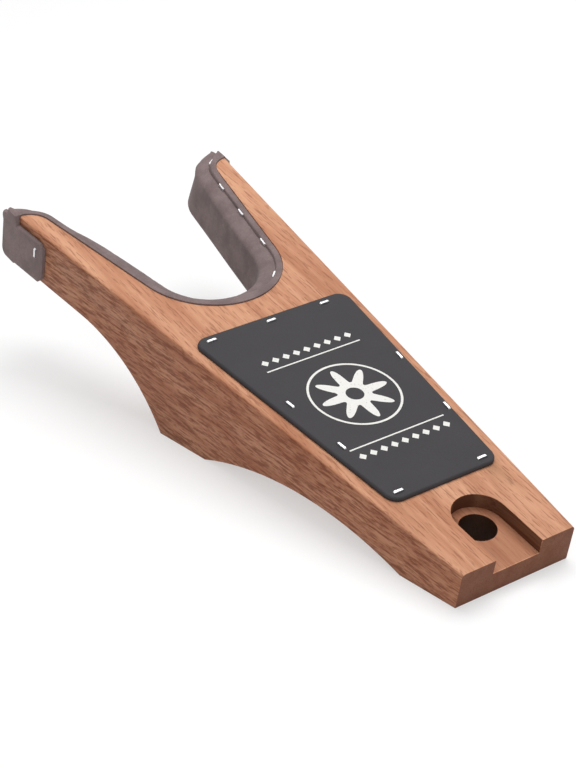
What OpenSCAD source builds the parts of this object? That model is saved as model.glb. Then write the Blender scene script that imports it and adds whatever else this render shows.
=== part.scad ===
// Boot jack: a sloping hardwood board with a padded heel notch, standing on two feet.
// The toe end points to -Y, the forked end to +Y, and the board is symmetric about X = 0.
// Plan shapes are drawn on the board's top face, and "depth" is measured square to that face.

/* [Board] */
// Length of the top face from the toe end to the fork tips
board_l = 320.5; // [290:0.5:360]
// Width of the top face at the toe end
toe_w = 66; // [60:1:80]
// Angle of each long side to the centre line
side_taper = 5.64; // [4.5:0.1:7]
// Height of the top face above the floor at the toe end
toe_h = 19.2; // [17:0.2:24]
// Slope of the top face
slope = 11.3; // [10:0.1:12.5]
// Radius on the long top edges
edge_r = 2; // [1:0.25:4]

/* [Heel notch] */
// Radius of the round end of the notch
notch_r = 40; // [34:0.5:44]
// Depth of the notch from the fork tips to its round end
notch_l = 114.2; // [104:0.2:124]
// Angle by which each side of the notch opens towards the tips
notch_flare = 10.8; // [8:0.1:12]
// Width of the flat end left on each fork tip beside its rounded inner corner
tip_flat = 0.7; // [0.5:0.1:3]

/* [Underside] */
// Thickness of the fork arms
arm_t = 28.4; // [26:0.2:32]
// Radius of the curve from the rear foot up to the arms
undercut_r = 90; // [75:1:110]
// Distance by which the rear foot reaches back past the end of the notch
foot_overlap = 4; // [0:0.5:10]
// Length of the rear foot
rear_foot_l = 34; // [25:1:45]
// Distance from the toe end to the back of the toe foot
toe_foot_l = 38; // [30:1:50]
// Height of the arch between the two feet
arch_h = 12.2; // [6:0.2:14]

/* [Toe slot] */
// Width of the slot in the toe end
slot_w = 27.4; // [22:0.2:32]
// Length of the slot from the toe end to its round end
slot_l = 40.4; // [34:0.2:46]
// Depth of the slot
slot_depth = 7.9; // [5:0.1:10]
// Diameter of the hanging hole through the slot's floor
hole_d = 18; // [12:0.5:20]

/* [Top patch] */
// Length of the leather patch
patch_l = 139.5; // [120:0.5:145]
// Distance from the rear edge of the patch to the end of the notch
patch_gap = 16.2; // [12:0.2:24]
// Distance from the edges of the patch to the long sides of the board
patch_margin = 6; // [4:0.25:12]
// Thickness of the patch
patch_t = 2; // [1.2:0.1:3]
// Corner radius of the patch
patch_r = 7; // [3:0.5:9]

/* [Notch lining] */
// Width of the suede strip, measured square to the top face
lining_h = 29; // [26:0.5:31]
// Distance by which the strip stands above the top face
lining_rise = 0.8; // [0:0.1:1.5]
// Thickness of the strip and what is under it, where the top staples hold it
lining_edge = 2.6; // [2.2:0.1:3.5]
// Extra thickness of the lining's top edge along the arms
arm_fill = 0.8; // [0:0.1:1.5]
// Extra thickness of its top edge in the middle of the notch
middle_fill = 3; // [1:0.2:4]
// Extra thickness of its top edge beyond the fork tips
tip_fill = 6.4; // [3:0.2:7]
// Thickness of the strip and the foam at the fullest place
lining_full = 13.2; // [11:0.2:14]
// Depth over which the strip swells from the edge that the staples hold to the fullest place
shoulder_h = 3; // [2.6:0.1:5]
// Thickness of the suede itself
suede_t = 1.8; // [1.2:0.1:2.2]
// Radius of the lower edge of the padding
lining_r = 3.6; // [3:0.1:5]

/* [Lining tabs] */
// Distance by which each tab comes forward along the board's side from the fork tip
tab_l = 23; // [20:0.5:28]
// Distance from the top face down to the tab's upper edge
tab_drop = 4.6; // [4:0.2:8]
// Thickness of the tab
tab_t = 2.5; // [1.5:0.1:3]
// Size of the cut-off corners of the tab
tab_cut = 3; // [1:0.5:4]

/* [Staples] */
// Outside width of a staple's crown
crown_w = 5.6; // [5:0.1:7]
// Width of the staple wire across the crown
wire_w = 1.25; // [0.9:0.05:1.5]
// Thickness of the staple wire
wire_t = 0.9; // [0.6:0.05:1.1]
// Length of a staple's legs
leg_l = 7; // [6:0.5:9]

/* [Hidden] */

$fn = 96;

// Glue line and working clearance between touching pieces
glue_gap = 0.2;
// Clearance round each staple leg
leg_clear = 0.15;
// Cutters reach this far past the faces that they cut
over = 1;

// Half width of the top face at a distance v from the toe end
function half_w(v) = toe_w / 2 + v * tan(side_taper);
// Distance of the notch's round end, and of its centre, from the toe end
notch_v = board_l - notch_l;
notch_cv = notch_v + notch_r;
// Place where the round end runs into the straight flare
flare_x = notch_r * cos(notch_flare);
flare_v = notch_cv - notch_r * sin(notch_flare);
// Half width of the notch at a distance v from the toe end, on the straight flare
function notch_half_w(v) = flare_x + (v - flare_v) * tan(notch_flare);
// Rounded inner corner of the right fork tip: its outer corner, its radius and its centre
tip_corner_x = half_w(board_l);
tip_r = (tip_corner_x - tip_flat - notch_half_w(board_l)) / (1 / cos(notch_flare) - tan(notch_flare));
tip_v = board_l - tip_r;
tip_x = notch_half_w(tip_v) + tip_r / cos(notch_flare);

// World Y and Z, before the shift to the origin, of a point of the board
function board_y(v, depth) = v * cos(slope) + depth * sin(slope);
function board_z(v, depth) = toe_h + v * sin(slope) - depth * cos(slope);
top_z = board_z(board_l, 0);
board_depth = top_z / cos(slope) + over;

// Underside of the board
rear_foot_y = board_y(notch_v, 0) + foot_overlap;
arch_y0 = toe_foot_l;
arch_y1 = rear_foot_y - rear_foot_l;
arch_r = (pow((arch_y1 - arch_y0) / 2, 2) + arch_h * arch_h) / (2 * arch_h);
// The curve runs from the foot's heel, here as a distance and a depth of the board, to the arms
rear_foot_v = rear_foot_y * cos(slope) - toe_h * sin(slope);
rear_foot_depth = rear_foot_y * sin(slope) + toe_h * cos(slope);
undercut_v = rear_foot_v
    + sqrt(pow(undercut_r, 2) - pow(arm_t + undercut_r - rear_foot_depth, 2));

// Cross-section of the lining: [distance from the notch wall, depth below the top face].
// Below the edge that the staples hold, the front swells round a quarter of an ellipse, goes
// straight down, and turns under. The edge's thickness changes along the notch.
face_steps = 5;
corner_steps = 3;
flange_depth = 2.2;
lining_base = lining_h - lining_rise;
function face_line(edge, inward) = [for (i = [1:face_steps])
    let (a = 90 * i / face_steps)
    [edge + (lining_full - inward - edge) * sin(a),
        flange_depth + shoulder_h - (shoulder_h - inward) * cos(a)]];
function corner_line(r) = [for (i = [0:corner_steps])
    let (a = 90 * i / corner_steps)
    [lining_full - lining_r + r * cos(a), lining_base - lining_r + r * sin(a)]];
function suede_front(edge) = concat([[edge, -lining_rise], [edge, flange_depth]],
    face_line(edge, 0), corner_line(lining_r), [[glue_gap, lining_base]]);
function suede_back(edge) = concat(
    [[glue_gap, -lining_rise], [glue_gap, flange_depth + suede_t]],
    face_line(edge, suede_t), corner_line(lining_r - suede_t), [[glue_gap, lining_base - suede_t]]);
foam_edge = 0.8;
foam_inward = suede_t + glue_gap;
function foam_front(edge) = concat([[glue_gap + foam_edge, flange_depth + foam_inward]],
    face_line(edge, foam_inward), corner_line(lining_r - foam_inward));
function foam_back(edge) = [for (q = foam_front(edge)) [glue_gap, q.y]];

// Path of the lining round the notch, as
// [point on the wall, direction into the opening, extra thickness of the top edge].
// It runs from the middle of the round end to the outer corner of the right fork tip.
// That thickness fades out this many degrees from the middle, and grows again over the last
// two steps of the tip's turn.
middle_reach = 60;
arc_steps = 9;
flare_steps = 3;
turn_steps = 5;
tip_onset = (tip_fill - arm_fill) * 0.6;
arc_l = notch_r * (90 - notch_flare) * PI / 180;
flare_l = (tip_v - flare_v + tip_r * sin(notch_flare)) / cos(notch_flare);
function arc_station(a) = [[notch_r * cos(a), notch_cv + notch_r * sin(a)], [-cos(a), -sin(a)],
    arm_fill + (middle_fill - arm_fill) * pow(max(0, 1 - (a + 90) / middle_reach), 2)];
function flare_station(d) = [[flare_x + d * sin(notch_flare), flare_v + d * cos(notch_flare)],
    [-cos(notch_flare), sin(notch_flare)], arm_fill];
function turn_station(a) = [[tip_x + tip_r * cos(a), tip_v + tip_r * sin(a)], [cos(a), sin(a)],
    arm_fill + tip_onset * max(0, 1 - (a - 90) / (90 - notch_flare) * turn_steps / 2)];
function end_station(x) = [[x, board_l], [0, 1], tip_fill];
function station_at(s) =
    s < arc_l ? arc_station(-90 + s / notch_r * 180 / PI)
    : s < arc_l + flare_l ? flare_station(s - arc_l)
    : turn_station(180 - notch_flare - (s - arc_l - flare_l) / tip_r * 180 / PI);
function mirrored(st) = [[-st[0].x, st[0].y], [-st[1].x, st[1].y], st[2]];

right_stations = concat(
    [for (i = [1:arc_steps]) arc_station(-90 + i * (90 - notch_flare) / arc_steps)],
    [for (i = [1:flare_steps]) flare_station(i * flare_l / flare_steps)],
    [for (i = [1:turn_steps]) turn_station(180 - notch_flare - i * (90 - notch_flare) / turn_steps)]);

// Rings of points across the strip: down its front, then back up behind
function around(front, back) = concat(front, [for (i = [len(back) - 1:-1:0]) back[i]]);
function suede_loop(edge) = around(suede_front(edge), suede_back(edge));
function foam_loop(edge) = around(foam_front(edge), foam_back(edge));
function edge_at(st) = lining_edge + st[2];
function wall_ring(st, loop) = [for (q = loop)
    [st[0].x + st[1].x * q.x, st[0].y + st[1].y * q.x, -q.y]];
function suede_ring(st) = wall_ring(st, suede_loop(edge_at(st)));
function foam_ring(st) = wall_ring(st, foam_loop(edge_at(st)));
// The strip turns the outer corner of the fork tip and ends in a flat tab on the board's side
tab_face = glue_gap + tab_t;
corner_ease = 1;
tip_edge = lining_edge + tip_fill;
corner_ring = around(
    [for (q = suede_front(tip_edge))
        [tip_corner_x + tab_face, board_l + max(q.x - corner_ease, tab_t), -q.y]],
    [for (q = suede_back(tip_edge)) [tip_corner_x + glue_gap, board_l + glue_gap, -q.y]]);
function tab_ring(d, top, base) =
    let (front_n = len(suede_front(tip_edge)), loop = suede_loop(tip_edge))
    [for (i = [0:len(loop) - 1])
        let (out = i < front_n ? tab_face : glue_gap, share = (loop[i].y + lining_rise) / lining_h)
        [half_w(board_l - d) + out * cos(side_taper), board_l - d - out * sin(side_taper),
            -top - share * (base - top)]];
notch_step = 0.6;
right_rings = concat(
    [for (st = right_stations) suede_ring(st)],
    [suede_ring(end_station(tip_corner_x)), corner_ring,
        tab_ring(0, -lining_rise, lining_base),
        tab_ring(notch_step, tab_drop, lining_base),
        tab_ring(tab_l - tab_cut, tab_drop, lining_base),
        tab_ring(tab_l, tab_drop + tab_cut, lining_base - tab_cut)]);
foam_rings = [for (st = right_stations) foam_ring(st)];
function mirrored_ring(ring) = [for (q = ring) [-q.x, q.y, q.z]];
function both_sides(rings, middle) = concat(
    [for (i = [len(rings) - 1:-1:0]) mirrored_ring(rings[i])], [middle], rings);

// Origin: under the middle of the whole jack, on the floor
lining_reach = max([for (q = suede_front(tip_edge)) board_y(board_l + q.x, q.y)]);
origin_y = lining_reach / 2;

// Staples of the lining: depth below the top face, and distances along the path from the middle
lining_staple_depth = 1.4;
lining_staple_path = [31, 63, 91, 116];
// The tip's staple stands as far round the tip as it can with this much wood left between its
// outer leg and the board's side, rounded edge and all
tip_staple_wall = 2.1;
tip_leg_in = leg_l + leg_clear - lining_edge - arm_fill;
tip_leg_out = crown_w / 2 + leg_clear;
tip_staple_a = atan2(tip_leg_out, tip_r - tip_leg_in)
    + acos((tip_flat - tip_staple_wall) / norm([tip_leg_out, tip_r - tip_leg_in]));
tip_staple_path = arc_l + flare_l + tip_r * (180 - notch_flare - tip_staple_a) * PI / 180;
// Staples of the tabs: distances from the tab's front end and its upper edge
tab_staple_inset = 5;
tab_staple_drop = 6.3;
tab_staple_v = board_l - tab_l + tab_staple_inset;
tab_staple_depth = tab_drop + tab_staple_drop;

// Patch outline
patch_v1 = notch_v - patch_gap;
patch_v0 = patch_v1 - patch_l;
function patch_half_w(v) = half_w(v) - patch_margin;

// Staples of the patch: insets from its rear and front edges and from its sides,
// and distances along its sides from the rear edge and from the front edge
end_inset = 4.5;
left_inset = 7;
right_inset = 2.6;
rear_left_inset = 8.5;
rear_middle_shift = 1.8;
rear_right_inset = 15;
front_left_inset = 6.8;
front_right_inset = 7.8;
left_rear_back = 62;
right_rear_back = 56;
side_front_on = 42;

// Moves shapes drawn on the board's top face to their place on the sloping board
module on_board() {
    translate([0, -origin_y, toe_h]) rotate([slope, 0, 0]) children();
}

// A staple with its crown along X, lying on Z = 0, and its legs going down
module staple() {
    shoulder_r = wire_t * 0.9;
    translate([0, wire_w / 2, 0]) rotate([90, 0, 0]) linear_extrude(wire_w) difference() {
        union() {
            translate([-crown_w / 2, -leg_l]) square([crown_w, leg_l + wire_t - shoulder_r]);
            translate([-crown_w / 2 + shoulder_r, 0]) square([crown_w - 2 * shoulder_r, wire_t]);
            for (side = [-1, 1])
                translate([side * (crown_w / 2 - shoulder_r), wire_t - shoulder_r]) circle(shoulder_r);
        }
        translate([-crown_w / 2 + wire_t, -leg_l - over])
            square([crown_w - 2 * wire_t, leg_l + over]);
    }
}

// Room for a staple's two legs
module staple_room() {
    for (side = [-1, 1])
        translate([side * (crown_w - wire_t) / 2 - wire_t / 2 - leg_clear,
                -wire_w / 2 - leg_clear, -leg_l - leg_clear])
            cube([wire_t + 2 * leg_clear, wire_w + 2 * leg_clear, leg_l + leg_clear + over]);
}

// Puts a staple frame on the patch at [x, v], turned by an angle
module on_patch(x, v, turn = 0) {
    on_board() translate([x, v, patch_t]) rotate([0, 0, turn]) children();
}

// Puts a staple frame on the lining at a path station
module on_lining(st) {
    on_board() translate([st[0].x, st[0].y, -lining_staple_depth])
        rotate([0, 0, atan2(st[1].y, st[1].x) - 90])
            rotate([-90, 0, 0]) translate([0, 0, edge_at(st)]) children();
}

// Puts a staple frame on the tab of the right side, crown upright
module on_tab(side) {
    on_board() mirror([side < 0 ? 1 : 0, 0, 0])
        translate([half_w(tab_staple_v), tab_staple_v, -tab_staple_depth])
            rotate([0, 0, -side_taper]) rotate([0, 90, 0])
                translate([0, 0, glue_gap + tab_t]) children();
}

function left_place(v) = [-patch_half_w(v) + left_inset, v, 90 + side_taper];
function right_place(v) = [patch_half_w(v) - right_inset, v, 90 - side_taper];
patch_places = [
    [-patch_half_w(patch_v1) + rear_left_inset, patch_v1 - end_inset, 0],
    [-rear_middle_shift, patch_v1 - end_inset, 0],
    [patch_half_w(patch_v1) - rear_right_inset, patch_v1 - end_inset, 0],
    left_place(patch_v1 - left_rear_back),
    left_place(patch_v0 + side_front_on),
    right_place(patch_v1 - right_rear_back),
    right_place(patch_v0 + side_front_on),
    [-patch_half_w(patch_v0) + front_left_inset, patch_v0 + end_inset, 0],
    [patch_half_w(patch_v0) - front_right_inset, patch_v0 + end_inset, 0]];
lining_stations = concat([arc_station(-90)],
    [for (s = lining_staple_path) mirrored(station_at(s))], [mirrored(station_at(tip_staple_path))],
    [for (s = lining_staple_path) station_at(s)], [station_at(tip_staple_path)]);

// Outline of the board on its top face, before the notch is cut
module board_outline() {
    polygon([[-half_w(0), 0], [half_w(0), 0],
        [half_w(board_l), board_l], [-half_w(board_l), board_l]]);
}

// Outline of the notch, reaching past the tips
module notch_outline() {
    translate([0, notch_cv]) circle(notch_r);
    polygon([[-flare_x, flare_v], [flare_x, flare_v],
        [notch_half_w(board_l + over), board_l + over],
        [-notch_half_w(board_l + over), board_l + over]]);
    for (side = [0, 1]) mirror([side, 0]) difference() {
        polygon([[tip_x, tip_v], turn_station(180 - notch_flare)[0],
            [notch_half_w(board_l) - over, board_l + over], [tip_x, board_l + over]]);
        translate([tip_x, tip_v]) circle(tip_r);
    }
}

// Cutter that rounds the top edge of the right side
module edge_cutter() {
    edge_l = (board_l + 2 * edge_r) / cos(side_taper);
    translate([half_w(-edge_r), -edge_r, 0]) rotate([0, 0, -side_taper])
        rotate([-90, 0, 0]) linear_extrude(edge_l) difference() {
            translate([-edge_r, -over]) square([edge_r + over, edge_r + over]);
            translate([-edge_r, edge_r]) circle(edge_r);
        }
}

// Space under the board: the arch between the feet, and the sweep up to the arms
module underside_space() {
    span = 2 * half_w(board_l) + 2 * over;
    rotate([90, 0, 90]) translate([0, 0, -span / 2]) linear_extrude(span) {
        translate([(arch_y0 + arch_y1) / 2 - origin_y, arch_h - arch_r]) circle(arch_r, $fn = 240);
        translate([board_y(undercut_v, arm_t) - origin_y, board_z(undercut_v, arm_t)])
            rotate(slope) translate([0, -undercut_r]) {
                circle(undercut_r, $fn = 180);
                square([board_l, undercut_r]);
            }
    }
}

module wood_body() {
    color([0.66, 0.42, 0.29]) difference() {
        on_board() translate([0, 0, -board_depth]) linear_extrude(board_depth) difference() {
            board_outline();
            notch_outline();
        }
        translate([-board_l, -board_l, -board_l]) cube([2 * board_l, 2 * board_l, board_l]);
        underside_space();
        on_board() {
            for (side = [0, 1]) mirror([side, 0, 0]) edge_cutter();
            translate([0, slot_l - slot_w / 2, -slot_depth]) cylinder(d = slot_w, h = slot_depth + over);
            translate([-slot_w / 2, -over, -slot_depth])
                cube([slot_w, slot_l - slot_w / 2 + over, slot_depth + over]);
            translate([0, slot_l - slot_w / 2, -board_depth]) cylinder(d = hole_d, h = board_depth);
        }
        for (place = patch_places) on_patch(place.x, place.y, place.z) staple_room();
        for (st = lining_stations) on_lining(st) staple_room();
        for (side = [-1, 1]) on_tab(side) staple_room();
    }
}

module top_patch() {
    color([0.17, 0.17, 0.19]) difference() {
        on_board() linear_extrude(patch_t) hull() for (side = [-1, 1]) {
            translate([side * (patch_half_w(patch_v0) - patch_r), patch_v0 + patch_r]) circle(patch_r);
            translate([side * (patch_half_w(patch_v1) - patch_r), patch_v1 - patch_r]) circle(patch_r);
        }
        for (place = patch_places) on_patch(place.x, place.y, place.z) staple_room();
    }
}

// A closed band through rings of points, each ring going round the band's cross-section
module band(rings) {
    n = len(rings);
    m = len(rings[0]);
    points = [for (ring = rings) each ring];
    function at(i, j) = i * m + j % m;
    sides = [for (i = [0:n - 2]) for (j = [0:m - 1]) for (half = [0, 1])
        half == 0 ? [at(i, j), at(i + 1, j + 1), at(i, j + 1)]
                  : [at(i, j), at(i + 1, j), at(i + 1, j + 1)]];
    caps = [for (i = [0, n - 1]) for (j = [0:m / 2 - 2]) for (half = [0, 1])
        let (a = at(i, j), b = at(i, j + 1), c = at(i, m - 2 - j), d = at(i, m - 1 - j),
            face = half == 0 ? [a, c, d] : [a, b, c])
        i == 0 ? face : [face[2], face[1], face[0]]];
    polyhedron(points, concat(sides, caps));
}

module suede_lining() {
    color([0.43, 0.39, 0.38]) difference() {
        on_board() band(both_sides(right_rings, suede_ring(arc_station(-90))));
        for (st = lining_stations) on_lining(st) staple_room();
        for (side = [-1, 1]) on_tab(side) staple_room();
    }
}

module foam_padding() {
    color([0.25, 0.25, 0.26]) on_board()
        band(both_sides(foam_rings, foam_ring(arc_station(-90))));
}

module patch_staple(i) {
    color([0.8, 0.8, 0.82]) on_patch(patch_places[i].x, patch_places[i].y, patch_places[i].z) staple();
}

module patch_staple_rear_left() { patch_staple(0); }
module patch_staple_rear_middle() { patch_staple(1); }
module patch_staple_rear_right() { patch_staple(2); }
module patch_staple_left_rear() { patch_staple(3); }
module patch_staple_left_front() { patch_staple(4); }
module patch_staple_right_rear() { patch_staple(5); }
module patch_staple_right_front() { patch_staple(6); }
module patch_staple_front_left() { patch_staple(7); }
module patch_staple_front_right() { patch_staple(8); }

module lining_staple(i) {
    color([0.8, 0.8, 0.82]) on_lining(lining_stations[i]) staple();
}

module lining_staple_middle() { lining_staple(0); }
module lining_staple_left_1() { lining_staple(1); }
module lining_staple_left_2() { lining_staple(2); }
module lining_staple_left_3() { lining_staple(3); }
module lining_staple_left_4() { lining_staple(4); }
module lining_staple_left_tip() { lining_staple(5); }
module lining_staple_right_1() { lining_staple(6); }
module lining_staple_right_2() { lining_staple(7); }
module lining_staple_right_3() { lining_staple(8); }
module lining_staple_right_4() { lining_staple(9); }
module lining_staple_right_tip() { lining_staple(10); }

module tab_staple_left() { color([0.8, 0.8, 0.82]) on_tab(-1) staple(); }
module tab_staple_right() { color([0.8, 0.8, 0.82]) on_tab(1) staple(); }

wood_body();
top_patch();
suede_lining();
foam_padding();
patch_staple_rear_left();
patch_staple_rear_middle();
patch_staple_rear_right();
patch_staple_left_rear();
patch_staple_left_front();
patch_staple_right_rear();
patch_staple_right_front();
patch_staple_front_left();
patch_staple_front_right();
lining_staple_middle();
lining_staple_left_1();
lining_staple_left_2();
lining_staple_left_3();
lining_staple_left_4();
lining_staple_left_tip();
lining_staple_right_1();
lining_staple_right_2();
lining_staple_right_3();
lining_staple_right_4();
lining_staple_right_tip();
tab_staple_left();
tab_staple_right();
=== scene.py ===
import math

import bmesh
import bpy
import numpy as np
from mathutils import Matrix, Vector


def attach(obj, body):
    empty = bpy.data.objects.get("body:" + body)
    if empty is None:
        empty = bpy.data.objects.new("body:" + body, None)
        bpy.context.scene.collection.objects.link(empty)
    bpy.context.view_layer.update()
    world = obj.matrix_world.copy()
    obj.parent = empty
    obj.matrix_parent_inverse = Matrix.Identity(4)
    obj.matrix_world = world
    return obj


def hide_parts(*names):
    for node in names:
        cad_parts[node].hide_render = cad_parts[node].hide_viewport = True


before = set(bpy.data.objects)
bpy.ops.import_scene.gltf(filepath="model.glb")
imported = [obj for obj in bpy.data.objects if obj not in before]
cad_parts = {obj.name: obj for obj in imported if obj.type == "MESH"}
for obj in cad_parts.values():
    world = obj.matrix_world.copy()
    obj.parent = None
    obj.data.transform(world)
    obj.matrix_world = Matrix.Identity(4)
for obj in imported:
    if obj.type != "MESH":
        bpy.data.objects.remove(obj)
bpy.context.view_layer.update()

# Wooden body
# One thick piece of reddish brown hardwood, sawn to a sloping board on two feet that forks at its
# high end, with a routed slot and a hanging hole at its toe. Its edges are eased and it is oiled.

MM = 0.001
board_length = 320.5
toe_width = 66.0
side_taper = math.radians(5.64)
toe_height = 19.2
slope = math.radians(11.3)
notch_radius = 40.0
notch_length = 114.2
notch_flare = math.radians(10.8)
tip_flat = 0.7
slot_width = 27.4
slot_length = 40.4
slot_depth = 7.9
hole_diameter = 18.0
origin_back = 166.026
worn_edge = 0.7
shortest_worn_edge = 1.6
same_point = 2e-6
flat_angle = 0.4
sharp_angle = 35.0


def half_width(v):
    """Half the board's width at v, its distance from the toe end: it grows by the taper's tangent."""
    return toe_width / 2 + v * math.tan(side_taper)


notch_start = board_length - notch_length
notch_centre = notch_start + notch_radius
flare_x = notch_radius * math.cos(notch_flare)
flare_v = notch_centre - notch_radius * math.sin(notch_flare)


def notch_half_width(v):
    """Half the notch's width at v on its straight sides: it grows by the flare's tangent."""
    return flare_x + (v - flare_v) * math.tan(notch_flare)


tip_corner = half_width(board_length)
tip_room = tip_corner - tip_flat - notch_half_width(board_length)
tip_radius = tip_room / (1 / math.cos(notch_flare) - math.tan(notch_flare))
tip_turn = math.pi / 2 - notch_flare
tip_turn_length = tip_radius * tip_turn
tip_v = board_length - tip_radius
tip_x = notch_half_width(tip_v) + tip_radius / math.cos(notch_flare)


def on_board(x, v, height):
    """Points given across and along the sloping top face and square to it, in mm, turned by the
    slope about the toe's top edge and moved to their place in metres."""
    y = v * math.cos(slope) - height * math.sin(slope) - origin_back
    z = toe_height + v * math.sin(slope) + height * math.cos(slope)
    return np.stack(np.broadcast_arrays(x, y, z), axis=-1) * MM


class Socket:
    """One output of a shader node. Python's operators on it add Math nodes."""

    def __init__(self, paint, output):
        self.paint = paint
        self.output = output

    def __add__(self, other):
        return self.paint.math("ADD", self, other)

    __radd__ = __add__

    def __mul__(self, other):
        return self.paint.math("MULTIPLY", self, other)

    __rmul__ = __mul__

    def __sub__(self, other):
        return self.paint.math("SUBTRACT", self, other)

    def __rsub__(self, other):
        return self.paint.math("SUBTRACT", other, self)

    def __truediv__(self, other):
        return self.paint.math("DIVIDE", self, other)

    def __pow__(self, other):
        return self.paint.math("POWER", self, other)

    def __abs__(self):
        return self.paint.math("ABSOLUTE", self)

    def above(self, other):
        return self.paint.math("GREATER_THAN", self, other)

    def below(self, other):
        return self.paint.math("LESS_THAN", self, other)


class Paint:
    """A material that is being mixed. Each method adds nodes and returns one output of the last."""

    def __init__(self, name):
        self.material = bpy.data.materials.new(name)
        self.material.use_nodes = True
        self.tree = self.material.node_tree
        self.shader = self.tree.nodes["Principled BSDF"]

    def feed(self, socket, value):
        """Links a node's output to the socket, or sets a plain value on it."""
        if isinstance(value, Socket):
            self.tree.links.new(value.output, socket)
        else:
            socket.default_value = value

    def node(self, kind, settings=None, values=None, output=0):
        """Any shader node, with its settings, and with its input sockets fed by name or number."""
        made = self.tree.nodes.new(kind)
        for name, value in (settings or {}).items():
            setattr(made, name, value)
        for name, value in (values or {}).items():
            self.feed(made.inputs[name], value)
        return Socket(self, made.outputs[output])

    def math(self, operation, *values):
        """One sum of numbers or other nodes' outputs, or one comparison, which gives 1 or 0."""
        return self.node("ShaderNodeMath", {"operation": operation}, dict(enumerate(values)))

    def place(self):
        """The point's own coordinates, in metres."""
        return self.node("ShaderNodeTexCoord", output="Object")

    def board_place(self, v):
        """The point's place across, along and above the sloping top face, from its middle at v."""
        start = Matrix.Rotation(-slope, 3, "X") @ Vector(on_board(0.0, v, 0.0))
        turned = {"Vector": self.place(), "Rotation": (-slope, 0, 0), "Location": -start}
        return self.node("ShaderNodeMapping", values=turned)

    def parts(self, vector):
        """The vector's three components."""
        return [self.node("ShaderNodeSeparateXYZ", values={0: vector}, output=i) for i in range(3)]

    def scaled(self, vector, scale):
        """The vector with each component multiplied by its own factor."""
        return self.node("ShaderNodeVectorMath", {"operation": "MULTIPLY"}, {0: vector, 1: scale})

    def noise(self, vector, scale, detail=3.0, roughness=0.5, distortion=0.0):
        """Cloudy noise between 0 and 1, finer where the scale is larger."""
        values = {"Vector": vector, "Scale": scale, "Detail": detail}
        values |= {"Roughness": roughness, "Distortion": distortion}
        return self.node("ShaderNodeTexNoise", values=values)

    def between(self, value, low, high):
        """0 below low, 1 above high, and a smooth rise between."""
        settings = {"interpolation_type": "SMOOTHSTEP"}
        return self.node("ShaderNodeMapRange", settings, {0: value, 1: low, 2: high})

    def blend(self, share, first, second):
        """The first colour where share is 0 and the second where it is 1."""
        settings = {"data_type": "RGBA"}
        return self.node("ShaderNodeMix", settings, {0: share, 6: first, 7: second}, output=2)

    def bump(self, height, strength, distance):
        """A normal that tilts with the height's slope, as if 1 stood that many metres high."""
        values = {"Height": height, "Strength": strength, "Distance": distance}
        return self.node("ShaderNodeBump", values=values)

    def finish(self, **sockets):
        """Feeds the shader's own sockets, named with underscores for spaces, and returns the
        material."""
        for name, value in sockets.items():
            self.feed(self.shader.inputs[name.replace("_", " ")], value)
        return self.material


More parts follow.
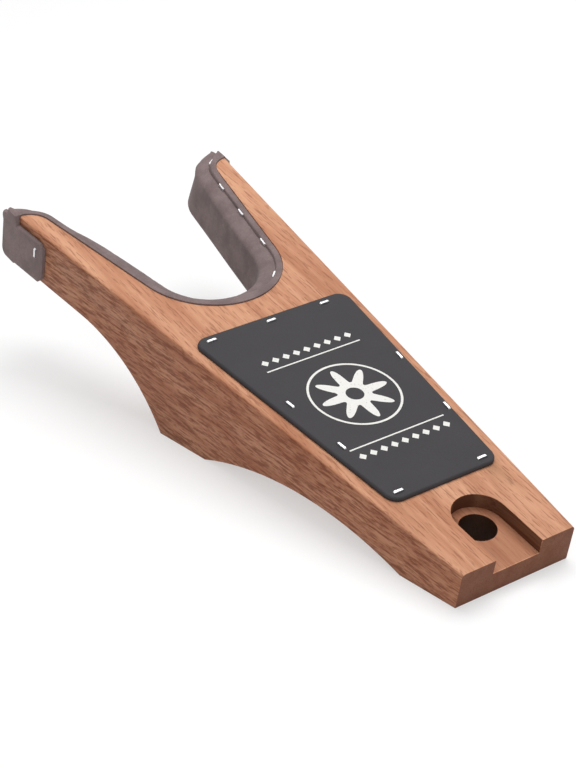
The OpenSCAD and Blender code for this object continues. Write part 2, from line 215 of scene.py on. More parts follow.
def wood_paint():
    """Pale wood turned deeper by noise that is stretched along the board: streaks, bands, fibres
    and pores. The sawn ends are darkened as end grain and as painted shade, the flanks as painted
    shade with darker grain streaks, and the slot and the hole as painted shade in the recesses, each
    by a mask of where the surface lies or which way it faces."""
    wood = Paint("oiled_hardwood")
    pale = (0.62, 0.325, 0.195, 1)
    deep = (0.4, 0.165, 0.088, 1)
    pore_colour = (0.24, 0.095, 0.055, 1)
    end_grain_and_shade_colour = (0.12, 0.04, 0.022, 1)
    flank_shade_and_streak_colour = (0.17, 0.05, 0.024, 1)
    slot_wall_shade_colour = (0.07, 0.022, 0.009, 1)
    slot_floor_shade_colour = (0.3, 0.12, 0.065, 1)
    bore_shade_colour = (0.03, 0.011, 0.005, 1)
    grain_lean = (math.radians(4), 0, math.radians(0.6))
    mask_gap, mask_side, mask_wide = 0.3, 0.2, 0.4
    board = wood.board_place(0.0)
    across, along, height = wood.parts(board)
    lean = {"Vector": board, "Rotation": grain_lean}
    grain = wood.node("ShaderNodeMapping", values=lean)
    wander = wood.noise(wood.scaled(grain, (14, 5, 14)), 1.0, 2.0)
    pores = wood.noise(wood.scaled(grain, (1150, 62, 1150)), 1.0, 2.0, 0.6)
    fibres = wood.noise(wood.scaled(grain, (620, 16, 620)), 1.0, 3.0, 0.6)
    streaks = wood.noise(wood.scaled(grain, (170, 5, 150)), 1.0, 3.0, 0.55, 0.3)
    bands = wood.noise(wood.scaled(grain, (46, 2.4, 60)), 1.0, 2.0, 0.5, 0.6)
    tone = wood.between(streaks * 0.6 + bands * 0.22 + wander * 0.18, 0.36, 0.7)
    colour = wood.blend(tone, pale, deep)
    line = wood.between(fibres, 0.5, 0.72)
    colour = wood.blend(line * 0.42, colour, deep)
    dark = wood.between(pores, 0.53, 0.66)
    colour = wood.blend(dark * 0.6, colour, pore_colour)
    normal = wood.node("ShaderNodeNewGeometry", output="Normal")
    facing = {"vector_type": "VECTOR"}
    square = wood.node("ShaderNodeMapping", facing, {"Vector": normal, "Rotation": (-slope, 0, 0)})
    side_on, end_on, face_on = [abs(part) for part in wood.parts(square)]
    # The sawn ends are darkened by their facing: partly the end grain's own deeper colour, partly painted
    # shade.
    end_grain_and_shade = wood.between(end_on, 0.75, 0.95)
    colour = wood.blend(end_grain_and_shade * 0.85, colour, end_grain_and_shade_colour)
    # Painted shade on the flanks, set by which way they face, made stronger along darker grain streaks.
    flank = wood.between(side_on, 0.6, 0.95)
    flank_lines = wood.noise(wood.scaled(grain, (1000, 13, 850)), 1.0, 3.0, 0.65)
    flank_streak = wood.between(flank_lines, 0.44, 0.62)
    colour = wood.blend(flank * (0.4 + 0.5 * flank_streak), colour, flank_shade_and_streak_colour)
    # Painted shade in the routed slot: a mask of its inside darkens the walls most and the floor less.
    in_slot = height.below(-mask_gap * MM) * abs(across).below((slot_width / 2 + mask_side) * MM)
    in_slot = in_slot * along.below((slot_length + mask_gap) * MM) * along.above(mask_wide * MM)
    wall = in_slot * (1 - wood.between(face_on, 0.3, 0.8))
    colour = wood.blend(wall * 0.8, colour, slot_wall_shade_colour)
    colour = wood.blend(in_slot * (1 - wall) * 0.55, colour, slot_floor_shade_colour)
    # Painted shade down the hanging hole: below the slot's floor it is made nearly black.
    from_hole = along - (slot_length - slot_width / 2) * MM
    in_bore = (across * across + from_hole * from_hole).below(((hole_diameter / 2 + mask_wide) * MM) ** 2)
    in_bore = in_bore * height.below((-slot_depth - mask_gap) * MM)
    colour = wood.blend(in_bore * 0.9, colour, bore_shade_colour)
    rough = 0.46 + 0.16 * fibres + 0.12 * dark
    relief = wood.bump(0.6 * pores + 0.4 * fibres, 0.22, 0.0004)
    return wood.finish(Base_Color=colour, Roughness=rough, Normal=relief, Specular_IOR_Level=0.12)


def added(name, data):
    """A new object in the scene for that mesh, lamp or camera, at the origin."""
    made = bpy.data.objects.new(name, data)
    bpy.context.scene.collection.objects.link(made)
    return made


def shade_smooth(mesh, limit):
    """Smooth shading, apart from the edges sharper than the limit in degrees."""
    mesh.polygons.foreach_set("use_smooth", np.ones(len(mesh.polygons), bool))
    mesh.set_sharp_from_angle(angle=math.radians(limit))


def eased_copy(node, name):
    """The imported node's mesh with its doubles merged, its flat faces joined, and each long
    convex edge over the sharp angle cut back by the worn edge in two steps."""
    mesh = bmesh.new()
    mesh.from_mesh(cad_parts[node].data)
    bmesh.ops.remove_doubles(mesh, verts=mesh.verts, dist=same_point)
    bmesh.ops.dissolve_limit(
        mesh, angle_limit=math.radians(flat_angle), verts=mesh.verts, edges=mesh.edges,
    )
    sharp = []
    for edge in mesh.edges:
        if len(edge.link_faces) == 2 and edge.is_convex:
            is_long = edge.calc_length() > shortest_worn_edge * MM
            if is_long and edge.calc_face_angle() > math.radians(sharp_angle):
                sharp.append(edge)
    bmesh.ops.bevel(
        mesh, geom=sharp, offset=worn_edge * MM, segments=2, profile=0.5, affect="EDGES",
        clamp_overlap=True,
    )
    copy = bpy.data.meshes.new(name)
    mesh.to_mesh(copy)
    mesh.free()
    shade_smooth(copy, limit=32)
    return added(name, copy)


wooden_body = eased_copy("wood_body", "wooden_body")
wooden_body.data.materials.append(wood_paint())
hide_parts("wood_body")
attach(wooden_body, "root")

# Foam padding
# A strip of soft foam that follows the notch wall from one fork tip to the other, under the
# suede. It is glued to the wood and can't be seen once the suede is on.

glue_gap = 0.2
suede_thickness = 1.8
lining_height = 29.0
lining_rise = 0.8
lining_base = lining_height - lining_rise
lining_edge = 2.6
lining_full = 13.2
shoulder_height = 4.0
slack = 1.4
left_pinch = 4.2
right_pinch = 1.0
pinch_walk = 130.0
pinch_reach = 20.0
lining_corner = 3.6
flange_depth = 2.2
arm_fill = 0.8
middle_fill = 3.0
tip_fill = 6.4
tip_onset = (tip_fill - arm_fill) * 0.6
tip_onset_length = tip_turn_length * 2 / 5
middle_reach = math.radians(60)
foam_rim = 0.8


def face_line(steps, edge, full, inward=0.0):
    """A quarter of an ellipse that swells from the stapled edge, whose thickness is given for
    each place along the wall, to the full thickness, moved inward by a thickness of its own."""
    angle = np.arange(1, steps + 1) / steps * math.pi / 2
    off = edge[:, None] + (full - inward - edge)[:, None] * np.sin(angle)
    depth = flange_depth + shoulder_height - (shoulder_height - inward) * np.cos(angle)
    return off, depth


def corner_line(steps, radius):
    """A quarter circle of that radius that turns the face under, about the corner's centre."""
    angle = np.arange(0, steps + 1) / steps * math.pi / 2
    off = lining_full - lining_corner + radius * np.cos(angle)
    depth = lining_base - lining_corner + radius * np.sin(angle)
    return np.column_stack([off, depth])


def notch_path(arc_steps, flare_steps, turn_steps):
    """The right half of the notch wall, from its middle to the end of the rounded fork tip: the
    wall's point, the direction into the opening and the distance along the wall at each step."""
    arc = -math.pi / 2 + np.linspace(0, tip_turn, arc_steps + 1)
    arc_point = [notch_radius * np.cos(arc), notch_centre + notch_radius * np.sin(arc)]
    arc_point = np.column_stack(arc_point)
    arc_normal = np.column_stack([-np.cos(arc), -np.sin(arc)])
    length = (tip_v - flare_v + tip_radius * math.sin(notch_flare)) / math.cos(notch_flare)
    run = np.linspace(0, length, flare_steps + 1)[1:]
    up = np.array([math.sin(notch_flare), math.cos(notch_flare)])
    flare_point = np.array([flare_x, flare_v]) + run[:, None] * up
    flare_normal = np.tile([-math.cos(notch_flare), math.sin(notch_flare)], (flare_steps, 1))
    tip = math.pi - notch_flare - np.linspace(0, tip_turn, turn_steps + 1)[1:]
    tip_normal = np.column_stack([np.cos(tip), np.sin(tip)])
    tip_point = np.array([tip_x, tip_v]) + tip_radius * tip_normal
    walked = np.concatenate([
        (arc + math.pi / 2) * notch_radius,
        notch_radius * tip_turn + run,
        notch_radius * tip_turn + length + (math.pi - notch_flare - tip) * tip_radius,
    ])
    points = np.concatenate([arc_point, flare_point, tip_point])
    normals = np.concatenate([arc_normal, flare_normal, tip_normal])
    return points, normals, walked


def top_fill(walked):
    """Extra thickness of the top edge along the wall: it falls by a square from the middle of the
    notch to the arms, and grows in a straight line over the last two fifths of the tip's turn."""
    middle = np.clip(1 - walked / (notch_radius * middle_reach), 0, None) ** 2
    tip = np.clip(1 - (walked[-1] - walked) / tip_onset_length, 0, None)
    return arm_fill + (middle_fill - arm_fill) * middle + tip_onset * tip


def shoulder_off(walked, pinch):
    """How far the shoulder stands off the wall: a little less than the full thickness, and less
    still by a bell curve where the strip is pinched near the fork tip."""
    return lining_full - slack - pinch * np.exp(-(((walked - pinch_walk) / pinch_reach) ** 2))


def joined_rings(left, right):
    """The rings of a strip that runs from the left tip to the right one. Both halves are given
    as if on the right, from the middle on: the left one is reversed and its x is turned."""
    return np.concatenate([left[:0:-1] * np.array([-1, 1, 1]), right])


def skin(name, rings, paint):
    """A closed band through rings of points: quads join each ring to the next one and run all
    round it, and one face closes each end."""
    count, size = rings.shape[:2]
    i, j = np.meshgrid(np.arange(count - 1), np.arange(size), indexing="ij")
    here, beside = i * size + j, i * size + (j + 1) % size
    quads = np.stack([here, here + size, beside + size, beside], axis=-1).reshape(-1, 4)
    ends = [list(range(size)), list(range(count * size - 1, (count - 1) * size - 1, -1))]
    mesh = bpy.data.meshes.new(name)
    mesh.from_pydata(rings.reshape(-1, 3).tolist(), [], quads.tolist() + ends)
    work = bmesh.new()
    work.from_mesh(mesh)
    bmesh.ops.recalc_face_normals(work, faces=work.faces)
    work.to_mesh(mesh)
    work.free()
    mesh.materials.append(paint)
    shade_smooth(mesh, limit=50)
    return added(name, mesh)


def foam_paint():
    """Dark grey cells, lighter with the distance from each cell's middle."""
    foam = Paint("dark_foam")
    cells = foam.node("ShaderNodeTexVoronoi", values={"Vector": foam.place(), "Scale": 1400.0})
    colour = foam.blend(cells, (0.02, 0.02, 0.022, 1), (0.05, 0.05, 0.054, 1))
    return foam.finish(Base_Color=colour, Roughness=0.95, Normal=foam.bump(cells, 0.5, 0.0004))


def foam_half(pinch):
    """The foam's section, a glue gap inside the suede, set square to the wall at each step."""
    inward = suede_thickness + glue_gap
    points, normals, walked = notch_path(arc_steps=24, flare_steps=12, turn_steps=10)
    count = len(walked)
    edge = lining_edge + top_fill(walked)
    full = shoulder_off(walked, pinch)
    shoulder, shoulder_depth = face_line(8, edge, full, inward)
    corner = corner_line(5, lining_corner - inward)
    front = np.hstack([
        np.full((count, 1), glue_gap + foam_rim), shoulder, np.tile(corner[:, 0], (count, 1)),
    ])
    depth = np.concatenate([[flange_depth + inward], shoulder_depth, corner[:, 1]])
    off = np.hstack([front, np.full(front.shape, glue_gap)])
    depth = np.concatenate([depth, depth[::-1]])
    plan = points[:, None] + normals[:, None] * off[..., None]
    return on_board(plan[..., 0], plan[..., 1], -depth[None])


foam_rings = joined_rings(foam_half(left_pinch), foam_half(right_pinch))
foam_strip = skin("foam_strip", foam_rings, foam_paint())
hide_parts("foam_padding")
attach(foam_strip, "root")

# Suede lining
# One strip of warm grey suede, pulled over the foam and turned under at its lower edge. Staples
# pin its top edge to the notch wall, and each end folds round the fork tip to a flat tab.

# The tab, the fold before it and the rounded lip
tab_length = 23.0
tab_drop = 4.6
tab_face = glue_gap + 2.5
tab_cut = 3.0
tab_step = 0.9
fold_radius = 2.4
straight_steps = 8
rim_thinning, rim_reach = 0.28, 0.6
end_thinning, end_reach = 0.3, 0.5
lip_off = np.array([[0.9, 0.25, 0.0]])
lip_depth = [-lining_rise, -0.62, -0.1]
flange_top = 0.4

# The staples, and how they press and pucker the suede round them
staple_depth = 1.4
staple_walk = np.array([31.0, 63.0, 91.0, 116.0])
tip_staple_share = 0.66
press_reach, press_drop, press_peak = 3.6, 3.0, 1.5
pucker_height, pucker_pitch, pucker_reach = 0.16, 4.4, 7.5
pucker_top, pucker_onset, pucker_fade = 2.5, 3.0, 5.5

# How the stuffing waves, puffs, swells at the tips and sinks, by depth or along the wall
wave_count, wave_height, tab_wave_height = 9, 0.3, 0.12
soft_top, soft_onset, soft_end = -0.3, 2.0, 3.0
puff, puff_onset, puff_depth, puff_reach = 0.3, 1.5, 3.0, 4.5
left_swell, right_swell, swell_length = 1.5, 3.2, 14.0
swell_top, swell_onset, swell_bottom, swell_fade = 1.0, 2.0, 8.0, 5.0
right_sink = 1.2
sink_start, sink_full, sink_end, sink_gone = 22.0, 45.0, 122.0, 138.0
right_corner_sink = 3.6
corner_sink_share = 0.8


def staple_places(walked):
    """Where the staples stand along the right half of the wall, the tip's staple last."""
    tip_staple = walked[-1] - tip_turn_length * (1 - tip_staple_share)
    return np.concatenate([[0.0], staple_walk, [tip_staple]])


def pressed(walked, depth, staples):
    """1 where a staple presses the suede flat and 0 away from it: the largest of the bell
    curves round the staples, along the wall and in depth."""
    along = (walked[:, None, None] - staples[None, None, :]) / press_reach
    down = (depth[None, :, None] - staple_depth) / press_drop
    return np.minimum(1, press_peak * np.exp(-(along**2) - down**2)).max(axis=-1)


def puckers(walked, depth, staples):
    """Small folds that fan from each staple: a cosine along the wall that fades with distance
    from the staple and with depth."""
    near = walked[:, None, None] - staples[None, None, :]
    fold = np.cos(near * 2 * math.pi / pucker_pitch) * np.exp(-((near / pucker_reach) ** 2))
    below = depth - pucker_top
    fade = np.clip(below / pucker_onset, 0, 1) * np.exp(-np.clip(below, 0, None) / pucker_fade)
    return fold.sum(axis=-1) * fade[None, :]


def waves(walked, depth, seed):
    """A slow unevenness of the stuffing: a sum of sines with fixed random directions."""
    rng = np.random.default_rng(seed)
    total = np.zeros((len(walked), len(depth)))
    for _ in range(wave_count):
        along, down = rng.uniform(0.05, 0.22), rng.uniform(-0.25, 0.25)
        phase = rng.uniform(0, 2 * math.pi)
        total += np.sin(walked[:, None] * along + depth[None, :] * down + phase)
    return total / wave_count


def rise(value, low, high):
    """0 below low, 1 above high, and the smooth cubic step between."""
    share = np.clip((value - low) / (high - low), 0, 1)
    return share * share * (3 - 2 * share)


def suede_front(edge, full):
    """The outer side of the suede's section at each place along the wall: over the rounded top
    edge, down the stapled edge, round the shoulder, down the face, and under."""
    lip = edge[:, None] - lip_off
    flange = np.tile(edge[:, None], (1, 5))
    shoulder, shoulder_depth = face_line(16, edge, full)
    corner = corner_line(8, lining_corner)
    face_depth = np.linspace(shoulder_depth[-1], corner[0, 1], 22)[1:-1]
    ease = np.linspace(0, 1, 22)[None, 1:-1]
    face = full[:, None] + (lining_full - full)[:, None] * ease
    under = np.linspace(lining_full - lining_corner, glue_gap, 5)[1:]
    low = np.tile(np.concatenate([corner[:, 0], under]), (len(edge), 1))
    depth = np.concatenate([
        lip_depth, np.linspace(flange_top, flange_depth, 5), shoulder_depth,
        face_depth, corner[:, 1], np.full(4, lining_base),
    ])
    return np.hstack([lip, flange, shoulder, face, low]), depth


def suede_back(edge, full):
    """The inner side of the section, from the bottom up: flat on the wood at both ends, and a
    suede's thickness inside the front where the foam lies."""
    shoulder, shoulder_depth = face_line(10, edge, full, suede_thickness)
    corner = corner_line(4, lining_corner - suede_thickness)
    low = np.tile(corner[:, 0], (len(edge), 1))
    rim = np.full((len(edge), 1), glue_gap)
    depth = np.concatenate([
        [-lining_rise, flange_depth + suede_thickness], shoulder_depth, corner[:, 1],
        [lining_base - suede_thickness],
    ])
    return np.hstack([rim, rim, shoulder, low, rim])[:, ::-1], depth[::-1]


def raised_by(walked, depth, tip_swell):
    """How far the suede stands out from its plain section: a bell-shaped puff under the top edge
    and a swelling that grows towards the tip, both pressed flat at the staples, and then the
    puckers and the waves, which fade out at the top and at the bottom."""
    staples = staple_places(walked)
    soft_above = np.clip((depth - soft_top) / soft_onset, 0, 1)
    soft = soft_above * np.clip((lining_base - depth) / soft_end, 0, 1)
    bulge = np.clip((depth - soft_top) / puff_onset, 0, 1)
    bulge = bulge * np.exp(-((depth - puff_depth) / puff_reach) ** 2)
    swollen = tip_swell * np.clip((depth - swell_top) / swell_onset, 0, 1)
    swollen = swollen * np.clip((swell_bottom - depth) / swell_fade, 0, 1)
    growth = rise(walked, walked[-1] - swell_length, walked[-1])
    stuffed = puff * bulge[None] + growth[:, None] * swollen[None]
    stuffed = stuffed * (1 - pressed(walked, depth, staples))
    folds = pucker_height * puckers(walked, depth, staples)
    return stuffed - folds + wave_height * soft[None] * waves(walked, depth, 4)


def round_corner(start, full):
    """The suede's front past the wall's end, for each place in its section. It goes straight on
    to the board's side, growing from its first distance off the board's end to the full one,
    turns a quarter circle of the fold radius, and runs straight back to the board's end."""
    side = tip_corner + tab_face
    radius = np.minimum(fold_radius, full)
    onward = np.linspace(0, 1, straight_steps + 1)[1:, None]
    straight_x = tip_x + onward * (side - radius - tip_x)[None]
    straight_v = board_length + start[None] + onward * (full - start)[None]
    angle = np.linspace(0, math.pi / 2, 10)[1:, None]
    fold_x = side - radius + radius * np.sin(angle)
    fold_v = board_length + full - radius + radius * np.cos(angle)
    back = np.linspace(0, 1, 6)[1:, None]
    back_v = board_length + (full - radius) * (1 - back)
    back_x = np.full(back_v.shape, side)
    x = np.concatenate([straight_x, fold_x, back_x])
    v = np.concatenate([straight_v, fold_v, back_v])
    return np.stack([x, v], axis=-1)


def behind_corner(start, count):
    """The suede's back past the wall's end, in that number of steps: it goes straight on along the
    board's end for the front's first steps, and stays at the board's corner for the others."""
    onward = np.linspace(0, 1, straight_steps + 1)[1:, None]
    x = np.full((count, len(start)), tip_corner + glue_gap)
    v = np.full((count, len(start)), board_length + glue_gap)
    x[:straight_steps] = tip_x + onward * (tip_corner - tip_x)
    v[:straight_steps] = board_length + start[None]
    return np.stack([x, v], axis=-1)


def beside_board(flat, out):
    """Points that lie back along the board's side by flat and stand off it by out, square to the
    side's taper."""
    x = half_width(board_length - flat) + out * math.cos(side_taper)
    v = board_length - flat - out * math.sin(side_taper)
    return np.stack([x, v], axis=-1)


def tab_off(flat, depth):
    """How far the tab's face stands off the board's side: the tab's thickness, thinner by falling
    exponentials towards its top, its bottom and its end, plus slow waves."""
    from_rim = np.minimum(depth + lining_rise, lining_base - depth)
    rim = 1 - rim_thinning * np.exp(-from_rim / rim_reach)
    end = 1 - end_thinning * np.exp(-(tab_length - flat) / end_reach)
    off = glue_gap + (tab_face - glue_gap) * rim[None] * end
    return off + tab_wave_height * waves(flat[:, 0], depth, 8)


def strip_edges(walked, corner_steps, flat, sink, corner_sink):
    """The depths of the strip's top and bottom edges at each step. The top edge stays level
    along the wall, sinks by a smooth step round the corner and by another to the tab's top, and
    both are clipped at 45 degrees at the tab's end. Last comes how far the stapled edge alone
    is sunk along the arm, between two smooth steps."""
    corner = np.arange(1, corner_steps + 1) / corner_steps
    sinking = corner_sink * rise(corner, 0, corner_sink_share)
    lowered = corner_sink + rise(flat, 0, tab_step) * (tab_drop + lining_rise - corner_sink)
    clipped = np.clip(flat - (tab_length - tab_cut), 0, None)
    before = len(walked) + corner_steps
    top_edge = np.concatenate([
        np.full((len(walked), 1), -lining_rise),
        sinking[:, None] - lining_rise,
        lowered - lining_rise + clipped,
    ])
    low_edge = np.concatenate([np.full((before, 1), lining_base), lining_base - clipped])
    sunk = np.zeros((before + len(flat), 1))
    arm = rise(walked, sink_start, sink_full) * (1 - rise(walked, sink_end, sink_gone))
    sunk[:len(walked), 0] = sink * arm
    return top_edge, low_edge, sunk


def fitted(depth, top_edge, low_edge, sunk):
    """The section's depths, stretched to lie between the strip's two edges, with the stapled
    edge sunk by its own amount, which fades in a straight line down to the shoulder."""
    below = depth[None] + lining_rise
    near_top = np.clip(1 - below / (flange_depth + lining_rise), 0, 1)
    return top_edge + below / lining_height * (low_edge - top_edge) + sunk * near_top


def suede_half(pinch, tip_swell, sink, corner_sink):
    """The suede's section is carried square to the wall from the notch's middle to the right
    tip. From there its front goes round the tip's outer corner while its top edge sinks, and it
    lies flat on the board's side as the tab. Its back takes the same steps, and each step's ring is
    the front's line and then the back's."""
    points, normals, walked = notch_path(arc_steps=64, flare_steps=76, turn_steps=26)
    edge = lining_edge + top_fill(walked)
    full = shoulder_off(walked, pinch)
    off, depth = suede_front(edge, full)
    back_off, back_depth = suede_back(edge, full)
    raised = raised_by(walked, depth, tip_swell)
    off = off + raised
    tip_off, _ = suede_front(np.array([lining_edge + tip_fill]), np.array([lining_full]))
    corner = round_corner(off[-1], tip_off[0] + raised[-1])
    step_in = np.linspace(0, tab_step, 4)[1:]
    flat = np.concatenate([step_in, np.linspace(tab_step, tab_length, 34)[1:]])[:, None]
    front = np.concatenate([
        points[:, None] + normals[:, None] * off[..., None],
        corner,
        beside_board(flat, tab_off(flat, depth)),
    ])
    back = np.concatenate([
        points[:, None] + normals[:, None] * back_off[..., None],
        behind_corner(back_off[-1], len(corner)),
        beside_board(flat, np.full((len(flat), len(back_depth)), glue_gap)),
    ])
    edges = strip_edges(walked, len(corner), flat, sink, corner_sink)
    front_rings = on_board(front[..., 0], front[..., 1], -fitted(depth, *edges))
    back_rings = on_board(back[..., 0], back[..., 1], -fitted(back_depth, *edges))
    return np.concatenate([front_rings, back_rings], axis=1)


def suede_paint():
    """Warm grey in slow clouds of two shades, with a darker fuzz and a pale nap of fine noise."""
    suede = Paint("grey_suede")
    cloud_dark = (0.16, 0.119, 0.117, 1)
    cloud_light = (0.22, 0.166, 0.163, 1)
    fuzz_colour = (0.14, 0.105, 0.1, 1)
    nap_colour = (0.4, 0.34, 0.325, 1)
    place = suede.place()
    nap = suede.noise(place, 1900.0, 2.0, 0.65)
    fuzz = suede.noise(place, 700.0, 3.0, 0.6)
    clouds = suede.noise(place, 95.0, 3.0, 0.55)
    colour = suede.blend(suede.between(clouds, 0.3, 0.7), cloud_dark, cloud_light)
    colour = suede.blend(suede.between(fuzz, 0.35, 0.7) * 0.35, colour, fuzz_colour)
    colour = suede.blend(suede.between(nap, 0.55, 0.75) * 0.3, colour, nap_colour)
    relief = suede.bump(0.6 * nap + 0.4 * fuzz, 0.35, 0.0004)
    return suede.finish(
        Base_Color=colour, Roughness=0.92, Normal=relief, Specular_IOR_Level=0.15,
        Sheen_Weight=0.08, Sheen_Roughness=0.45,
    )


suede_rings = joined_rings(
    suede_half(left_pinch, left_swell, 0, 0),
    suede_half(right_pinch, right_swell, right_sink, right_corner_sink),
)
suede_strip = skin("suede_strip", suede_rings, suede_paint())
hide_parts("suede_lining")
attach(suede_strip, "root")

# Leather patch
# A charcoal leather patch, 2 mm thick, laid on the top face and stapled all round. Its edges
# are softly rolled. A star in a ring, between rules and rows of lozenges, is printed in off-white.

patch_length = 139.5
patch_gap = 16.2
patch_margin = 6.0
patch_thick = 2.0
patch_corner = 7.0
patch_roll = 1.3
patch_puff = 0.3
patch_hem = 0.12
patch_under = 0.5
dip_length, dip_width, dip_peak = 4.2, 2.2, 1.4
patch_rear = notch_start - patch_gap
patch_front = patch_rear - patch_length


def patch_half_width(v):
    """Half the patch's width at v: the board's, less the margin."""
    return half_width(v) - patch_margin


left_inset, right_inset, end_inset = 7.0, 2.6, 4.5
rear_left_inset, rear_middle_x, rear_right_inset = 8.5, -1.8, 15.0
front_left_inset, front_right_inset = 6.8, 7.8
side_turn = math.pi / 2 - side_taper
left_rear_v, left_front_v = patch_rear - 62.0, patch_front + 42.0
right_rear_v, right_front_v = patch_rear - 56.0, patch_front + 42.0
patch_staples = np.array([
    [-patch_half_width(patch_rear) + rear_left_inset, patch_rear - end_inset, 0],
    [rear_middle_x, patch_rear - end_inset, 0],
    [patch_half_width(patch_rear) - rear_right_inset, patch_rear - end_inset, 0],
    [-patch_half_width(left_rear_v) + left_inset, left_rear_v, -side_turn],
    [-patch_half_width(left_front_v) + left_inset, left_front_v, -side_turn],
    [patch_half_width(right_rear_v) - right_inset, right_rear_v, side_turn],
    [patch_half_width(right_front_v) - right_inset, right_front_v, side_turn],
    [-patch_half_width(patch_front) + front_left_inset, patch_front + end_inset, 0],
    [patch_half_width(patch_front) - front_right_inset, patch_front + end_inset, 0],
])


def patch_outline(steps):
    """The patch's edge, anticlockwise: four quarter turns of the corner radius, joined by
    straight sides, each with the same number of points. Returns points and outward normals."""
    front_x = patch_half_width(patch_front) - patch_corner
    rear_x = patch_half_width(patch_rear) - patch_corner
    centres = np.array([
        [front_x, patch_front + patch_corner], [rear_x, patch_rear - patch_corner],
        [-rear_x, patch_rear - patch_corner], [-front_x, patch_front + patch_corner],
    ])
    points, normals = [], []
    for corner, centre in enumerate(centres):
        angle = math.pi / 2 * (corner - 1) + np.linspace(0, math.pi / 2, steps)
        normal = np.column_stack([np.cos(angle), np.sin(angle)])
        after = centres[(corner + 1) % 4] + patch_corner * normal[-1]
        arc = centre + patch_corner * normal
        side = arc[-1] + np.linspace(0, 1, steps * 3 + 1)[1:-1, None] * (after - arc[-1])
        points += [arc, side]
        normals += [normal, np.tile(normal[-1], (len(side), 1))]
    return np.concatenate(points), np.concatenate(normals)


def patch_rings():
    """Rings that shrink from the edge to the middle. The height rises round the roll's quarter
    circle, stays at the thickness and a little puff, and dips to the thickness at each staple."""
    edge, normal = patch_outline(22)
    roll = np.linspace(0, math.pi / 2, 8)
    inset = np.concatenate([[patch_under, patch_hem], patch_roll * (1 - np.cos(roll))])
    rolled = patch_thick - patch_roll + patch_roll * np.sin(roll)
    near = edge[None] - normal[None] * inset[:, None, None]
    middle = np.array([0.0, (patch_front + patch_rear) / 2])
    shrink = 1 - np.linspace(0, 1, 62)[1:-1] ** 0.9
    inner = middle + (near[-1] - middle)[None] * shrink[:, None, None]
    plan = np.concatenate([near, inner])
    height = np.concatenate([[patch_hem, patch_hem], rolled, np.full(len(inner), patch_thick)])
    height = height[:, None] * np.ones(plan.shape[1])
    away = plan[:, :, None] - patch_staples[None, None, :, :2]
    turn = patch_staples[:, 2]
    along = away[..., 0] * np.cos(turn) + away[..., 1] * np.sin(turn)
    beside = away[..., 1] * np.cos(turn) - away[..., 0] * np.sin(turn)
    near_staple = np.exp(-((along / dip_length) ** 2) - (beside / dip_width) ** 2)
    dips = np.minimum(1, dip_peak * near_staple).max(axis=-1)
    raised = np.concatenate([[0.0, 0.0], np.sin(roll), np.ones(len(inner))])[:, None]
    return on_board(plan[..., 0], plan[..., 1], height + patch_puff * raised * (1 - dips))


def patch_paint():
    """Charcoal leather with a pebbled grain. The print is a mask of places on the patch: a star
    whose reach is a cubed cosine of the angle, with an open eye, in a ring, between two rules and
    two rows of lozenges, where the sum of both distances from a lozenge's middle is under one."""
    leather = Paint("charcoal_leather")
    leather_dark = (0.037, 0.035, 0.038, 1)
    leather_light = (0.053, 0.05, 0.053, 1)
    grain_colour = (0.035, 0.033, 0.036, 1)
    print_colour = (0.74, 0.73, 0.7, 1)
    petal_count = 8
    star_reach, eye_radius = 0.019, 0.0045
    star_waist, star_petal = 0.45, 0.55
    ring_radius, ring_line = 0.0225, 0.0006
    lozenge_step, lozenge_count = 0.0062, 9
    lozenge_row, lozenge_half = 0.0385, 0.0022
    lozenge_width = 0.34
    rule_row, rule_line = 0.0325, 0.0004
    place = leather.place()
    across, along, _ = leather.parts(leather.board_place((patch_front + patch_rear) / 2))
    pebbles = leather.node("ShaderNodeTexVoronoi", values={"Vector": place, "Scale": 1500.0})
    fine = leather.noise(place, 2600.0, 2.0, 0.6)
    clouds = leather.noise(place, 60.0, 3.0, 0.5)
    colour = leather.blend(clouds, leather_dark, leather_light)
    colour = leather.blend(leather.between(fine, 0.4, 0.75) * 0.3, colour, grain_colour)
    angle = leather.math("ARCTAN2", across, along)
    reach = (across * across + along * along) ** 0.5
    petals = abs(leather.math("COSINE", angle * (petal_count / 2)))
    star = reach.below((petals**3 * star_petal + star_waist) * star_reach) * reach.above(eye_radius)
    ring = abs(reach - ring_radius).below(ring_line)
    in_row = abs(across).below(lozenge_step * lozenge_count / 2)
    from_lozenge = leather.math("FRACT", across / lozenge_step + 50.5) - 0.5
    from_row = abs(along) - lozenge_row
    lozenge = (abs(from_lozenge) / lozenge_width + abs(from_row) / lozenge_half).below(1.0) * in_row
    rule = abs(abs(along) - rule_row).below(rule_line) * in_row
    print_mask = leather.math("MAXIMUM", star, ring)
    print_mask = leather.math("MAXIMUM", print_mask, leather.math("MAXIMUM", lozenge, rule))
    worn = leather.between(leather.noise(place, 900.0, 3.0, 0.7), 0.28, 0.42)
    print_mask = print_mask * (0.55 + 0.45 * worn)
    colour = leather.blend(print_mask, colour, print_colour)
    rough = 0.5 + 0.14 * fine + 0.1 * clouds
    relief = leather.bump(0.5 * pebbles + 0.5 * fine, 0.18, 0.0003)
    return leather.finish(Base_Color=colour, Roughness=rough, Normal=relief, Specular_IOR_Level=0.13)


leather_patch = skin("leather_patch", patch_rings(), patch_paint())
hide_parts("top_patch")
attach(leather_patch, "root")

# Staples
# Bright zinc-plated wire staples, driven in by a staple gun: round the patch, along the top
# edge of the suede, and one in each tab.


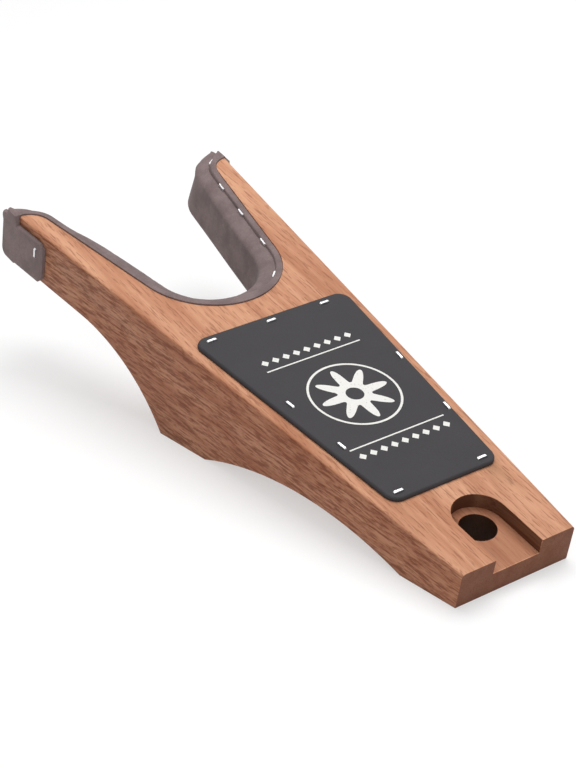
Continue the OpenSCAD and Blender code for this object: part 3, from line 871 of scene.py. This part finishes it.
def staple_paint():
    """Bright metal, duller in slow patches, with fine scratches that roughen it."""
    wire = Paint("zinc_plated_wire")
    dull_colour = (0.6, 0.6, 0.62, 1)
    bright_colour = (0.85, 0.85, 0.86, 1)
    scratches = wire.noise(wire.place(), 5200.0, 2.0, 0.6)
    dull = wire.noise(wire.place(), 900.0, 2.0, 0.5)
    colour = wire.blend(dull, dull_colour, bright_colour)
    rough = 0.24 + 0.2 * scratches
    return wire.finish(Base_Color=colour, Metallic=1.0, Roughness=rough)


wire_paint = staple_paint()
for node_name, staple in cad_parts.items():
    if "staple" in node_name:
        staple.data.materials.clear()
        staple.data.materials.append(wire_paint)

# Studio
# A white floor that runs on as the backdrop, one large soft lamp high overhead, a little to the
# right, and a weaker one in front, with the camera where the photograph was taken.

floor_size = 12.0
floor_drop = 0.0002
floor_glow = 0.5
lamp_aim = (0, 0, 0.03)
air_strength = 0.45
camera_azimuth = math.radians(-36.56)
camera_elevation = math.radians(29.03)
camera_place = Vector((-541.1, -559.1 - origin_back, 530.7)) * MM
camera_lens = 98.71
camera_sensor = 36.0
white = (1, 1, 1, 1)


def backdrop_paint():
    """Matt white under the light, mixed half and half with plain white wherever the camera or a
    reflection looks at it."""
    backdrop = Paint("white_floor")
    by_camera = backdrop.node("ShaderNodeLightPath", output="Is Camera Ray")
    by_shine = backdrop.node("ShaderNodeLightPath", output="Is Glossy Ray")
    glow = backdrop.node("ShaderNodeEmission", values={"Color": white, "Strength": 1.0})
    seen = backdrop.math("MINIMUM", by_camera + by_shine, 1.0) * floor_glow
    material = backdrop.finish(Base_Color=(0.9, 0.9, 0.9, 1), Roughness=0.9, Specular_IOR_Level=0.1)
    matt = Socket(backdrop, backdrop.shader.outputs[0])
    mixed = backdrop.node("ShaderNodeMixShader", values={0: seen, 1: matt, 2: glow})
    backdrop.feed(backdrop.tree.nodes["Material Output"].inputs["Surface"], mixed)
    return material


def soft_lamp(name, place, size, power):
    """A square lamp of that size that looks from its place to the lamps' common aim."""
    data = bpy.data.lights.new(name, "AREA")
    data.shape = "SQUARE"
    data.size = size
    data.energy = power
    lamp = added(name, data)
    lamp.location = place
    look = Vector(lamp_aim) - Vector(place)
    lamp.rotation_euler = look.to_track_quat("-Z", "Y").to_euler()


def air(name):
    """A world that lights everything with the air's strength, but is plain white where the camera
    or a reflection looks at it."""
    world = bpy.data.worlds.new(name)
    world.use_nodes = True
    tree = world.node_tree
    lighting = tree.nodes["Background"]
    seen = tree.nodes.new("ShaderNodeBackground")
    for background, strength in ((lighting, air_strength), (seen, 1.0)):
        background.inputs["Color"].default_value = white
        background.inputs["Strength"].default_value = strength
    path = tree.nodes.new("ShaderNodeLightPath")
    either = tree.nodes.new("ShaderNodeMath")
    either.operation = "MAXIMUM"
    choice = tree.nodes.new("ShaderNodeMixShader")
    tree.links.new(path.outputs["Is Camera Ray"], either.inputs[0])
    tree.links.new(path.outputs["Is Glossy Ray"], either.inputs[1])
    tree.links.new(either.outputs[0], choice.inputs[0])
    tree.links.new(lighting.outputs[0], choice.inputs[1])
    tree.links.new(seen.outputs[0], choice.inputs[2])
    tree.links.new(choice.outputs[0], tree.nodes["World Output"].inputs["Surface"])
    return world


floor_corners = np.array([[-1, -1, 0], [1, -1, 0], [1, 1, 0], [-1, 1, 0]]) * floor_size
floor_corners[:, 2] = -floor_drop
floor_mesh = bpy.data.meshes.new("floor")
floor_mesh.from_pydata(floor_corners.tolist(), [], [(0, 1, 2, 3)])
floor_mesh.materials.append(backdrop_paint())
floor = added("floor", floor_mesh)

soft_lamp("key_lamp", place=(0.35, 0.15, 1.55), size=1.1, power=20.0)
soft_lamp("front_lamp", place=(-0.9, -1.1, 0.9), size=1.2, power=6.0)
bpy.context.scene.world = air("studio")

camera_data = bpy.data.cameras.new("camera")
camera_data.sensor_width = camera_sensor
camera_data.lens = camera_lens
camera = added("camera", camera_data)
camera.location = camera_place
ahead = Vector((
    -math.sin(camera_azimuth) * math.cos(camera_elevation),
    math.cos(camera_azimuth) * math.cos(camera_elevation),
    -math.sin(camera_elevation),
))
camera.rotation_euler = ahead.to_track_quat("-Z", "Y").to_euler()
bpy.context.scene.camera = camera
bpy.context.scene.view_settings.view_transform = "Standard"
